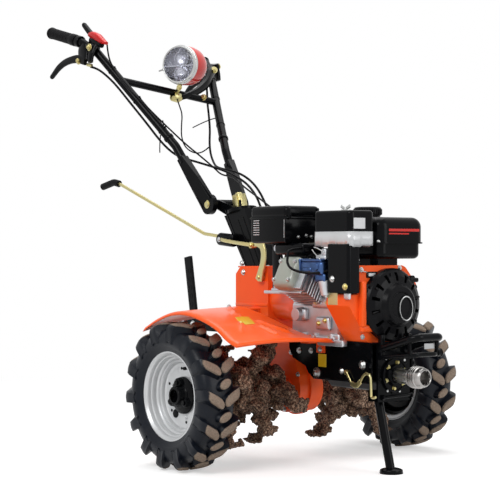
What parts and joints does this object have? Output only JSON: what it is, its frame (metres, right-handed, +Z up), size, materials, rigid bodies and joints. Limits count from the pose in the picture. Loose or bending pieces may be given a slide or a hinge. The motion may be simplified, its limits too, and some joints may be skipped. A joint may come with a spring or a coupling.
{
  "type": "walk-behind two-wheel rotary tiller",
  "caption": "Walk-behind two-wheel tiller with lugged wheels, hub-driven tines, upright engine, front power take-off, park stand and long swinging handlebars.",
  "frame": {"origin": "centre of the bounding box on the ground", "axes": "+X forward to the power take-off, +Y to the left, +Z up; the operator stands at -X"},
  "size_m": [1.4876, 0.91, 1.2988],
  "materials": {
    "orange": "gloss orange paint over pressed steel",
    "black": "gloss black paint over steel and castings",
    "silver": "silver grey paint over steel",
    "castalu": "bare die casting, slightly grained",
    "steel": "machined and oiled steel",
    "zinc": "yellow passivated zinc plate",
    "soiled": "worn paint with dried brown soil",
    "tyre": "blue-black rubber, lug tops dusty with dry soil",
    "rubber": "soft black rubber",
    "plastic": "matt black moulding",
    "redplastic": "glossy red moulding",
    "red": "glossy red paint over a pressed bowl",
    "clear": "clear ribbed lens",
    "green": "grey green paint on a pressed cover",
    "cable": "black plastic cable sheath"
  },
  "bodies": {
    "chassis": {"air_cleaner": "black", "blower_housing": "orange", "cables_engine": "cable", "carburettor_cover": "black", "clutch_housing": "silver", "crankcase": "castalu", "cylinder_head": "castalu", "depth_stake": "black", "engine_base": "black", "fender_right": "orange", "front_frame": "black", "front_guard": "black", "fuel_cap": "silver", "fuel_tank": "black", "gearbox_left": "orange", "gearbox_right": "orange", "handle_column": "black", "muffler": "steel", "muffler_strut": "zinc", "oil_cap": "plastic", "pto_flange": "castalu", "pto_housing": "black", "rear_hitch": "black", "recoil_starter": "plastic", "rocker_cover": "green", "shift_grip": "rubber", "shift_guide": "black", "shift_lever": "zinc", "shift_link": "zinc", "stand_latch": "zinc"},
    "axle_rotor": {"drive_shaft": "steel", "wheel_left": "silver", "wheel_right": "silver", "tyre_left": "tyre", "tyre_right": "tyre", "tines_left": "soiled", "tines_right": "soiled"},
    "stand": {"stand_leg": "black"},
    "pto": {"pto_shaft": "steel", "pto_coupling": "steel"},
    "swivel": {"swivel_head": "black", "swivel_lock": "zinc"},
    "handlebars": {"handle_left": "black", "handle_right": "black", "crossbar": "black", "grip_left": "rubber", "grip_right": "rubber", "lever_left": "black", "lever_right": "black", "throttle_lever": "plastic", "throttle_cover": "redplastic", "headlight_body": "red", "headlight_bracket": "zinc", "headlight_lens": "clear", "cables_handle": "cable"}
  },
  "joints": [
    {"name": "axle_spin", "type": "hinge", "parent": "chassis", "child": "axle_rotor", "pos_m": [0.2035, 0, 0.198], "axis": [0, 1, 0], "continuous": true},
    {"name": "stand_fold", "type": "hinge", "parent": "chassis", "child": "stand", "pos_m": [0.5425, 0, 0.196], "axis": [0, 1, 0], "range_deg": [0, 60]},
    {"name": "pto_spin", "type": "hinge", "parent": "chassis", "child": "pto", "pos_m": [0.6535, 0, 0.258], "axis": [1, 0, 0], "continuous": true},
    {"name": "handle_swing", "type": "hinge", "parent": "chassis", "child": "swivel", "pos_m": [-0.045, 0, 0.697], "axis": [-0.2212, 0, 0.9752], "range_deg": [-20, 20], "deforming": ["cables_engine"]},
    {"name": "handle_tilt", "type": "hinge", "parent": "swivel", "child": "handlebars", "pos_m": [-0.1305, 0, 0.721], "axis": [0, 1, 0], "range_deg": [-15, 15], "deforming": ["cables_handle"]}
  ]
}
